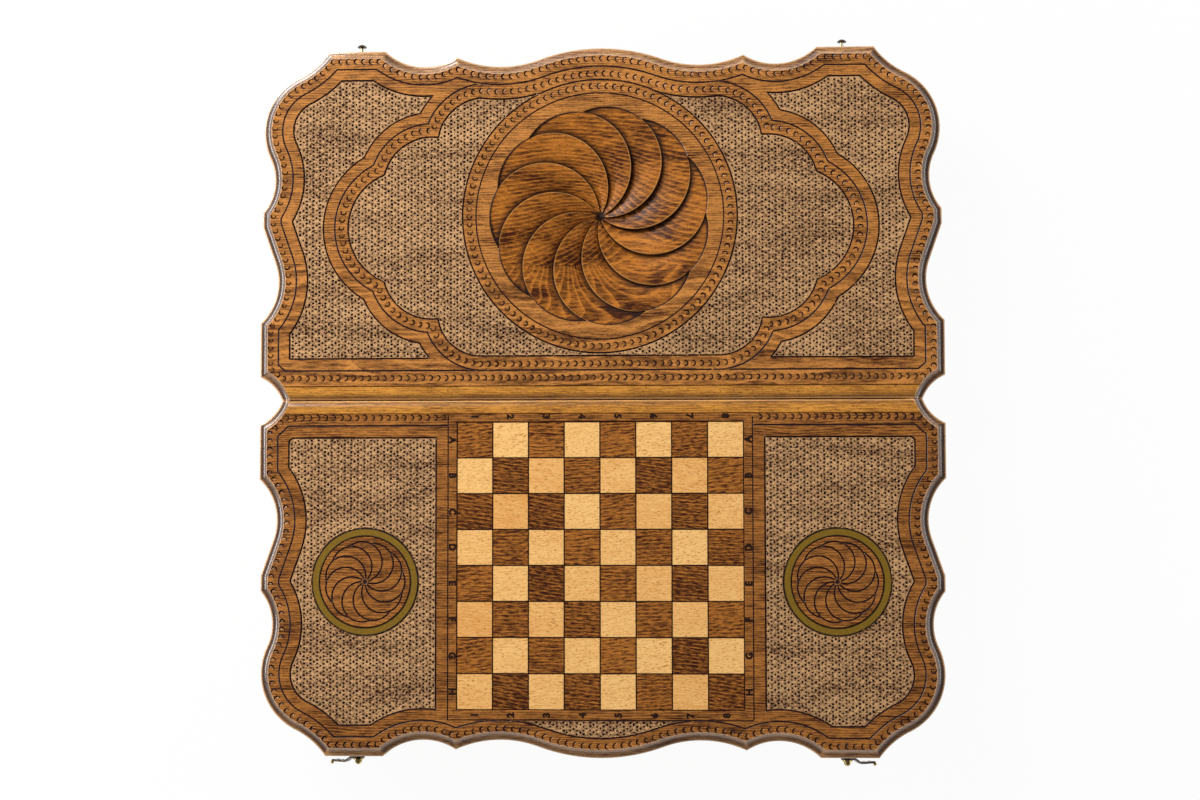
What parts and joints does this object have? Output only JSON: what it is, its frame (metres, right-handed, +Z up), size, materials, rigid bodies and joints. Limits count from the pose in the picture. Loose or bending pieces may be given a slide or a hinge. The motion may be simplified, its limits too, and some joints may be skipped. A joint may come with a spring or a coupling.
{
  "type": "backgammon board",
  "caption": "Folding wooden game case with a carved rosette on one half and a chess field on the other, hinged between them, with a backgammon tray inside each half and two swing hooks.",
  "frame": {"origin": "middle of the hinge line, where the board stands on its hinge barrels and rims with the trays down", "axes": "+Z up to the carved and chess faces, +Y along the board from the chess half to the carved half, +X along the hinge"},
  "size_m": [0.6, 0.6399, 0.0378],
  "materials": {
    "stained_wood": "satin varnish over a brown stain",
    "dark_stained_wood": "satin varnish over a dark stain",
    "light_wood": "satin varnish",
    "olive_gold_paint": "satin olive-gold paint on a wooden ring",
    "brass": "worn satin",
    "bronzed_brass": "dark antique finish"
  },
  "bodies": {
    "carved_half": {"carved_panel": "stained_wood", "carved_front_rail": "stained_wood", "carved_hinge_rail": "stained_wood", "carved_left_rail": "stained_wood", "carved_right_rail": "stained_wood", "carved_floor": "light_wood", "carved_light_points": "light_wood", "carved_dark_points": "dark_stained_wood", "carved_left_pockets": "stained_wood", "carved_right_pockets": "stained_wood", "left_carved_leaf": "brass", "right_carved_leaf": "brass", "left_hinge_pin": "bronzed_brass", "right_hinge_pin": "bronzed_brass", "carved_hinge_screws": "brass", "left_catch_knob": "brass", "right_catch_knob": "brass"},
    "chess_half": {"chess_panel": "stained_wood", "chess_front_rail": "stained_wood", "chess_hinge_rail": "stained_wood", "chess_left_rail": "stained_wood", "chess_right_rail": "stained_wood", "chess_floor": "light_wood", "chess_light_points": "light_wood", "chess_dark_points": "dark_stained_wood", "chess_left_pockets": "stained_wood", "chess_right_pockets": "stained_wood", "light_squares": "light_wood", "dark_squares": "dark_stained_wood", "left_medallion_ring": "olive_gold_paint", "right_medallion_ring": "olive_gold_paint", "left_chess_leaf": "brass", "right_chess_leaf": "brass", "chess_hinge_screws": "brass", "left_hook_screw": "brass", "right_hook_screw": "brass", "left_hook_washer": "bronzed_brass", "right_hook_washer": "bronzed_brass"},
    "left_hook": {"left_hook": "bronzed_brass"},
    "right_hook": {"right_hook": "bronzed_brass"}
  },
  "joints": [
    {"name": "fold", "type": "hinge", "parent": "carved_half", "child": "chess_half", "pos_m": [0, 0, 0], "axis": [1, 0, 0], "range_deg": [0, 180]},
    {"name": "left_hook_turn", "type": "hinge", "parent": "chess_half", "child": "left_hook", "pos_m": [-0.214, -0.3124, 0.0105], "axis": [0, -1, 0], "range_deg": [-114, 66]},
    {"name": "right_hook_turn", "type": "hinge", "parent": "chess_half", "child": "right_hook", "pos_m": [0.214, -0.3124, 0.0105], "axis": [0, 1, 0], "range_deg": [-114, 66]}
  ]
}
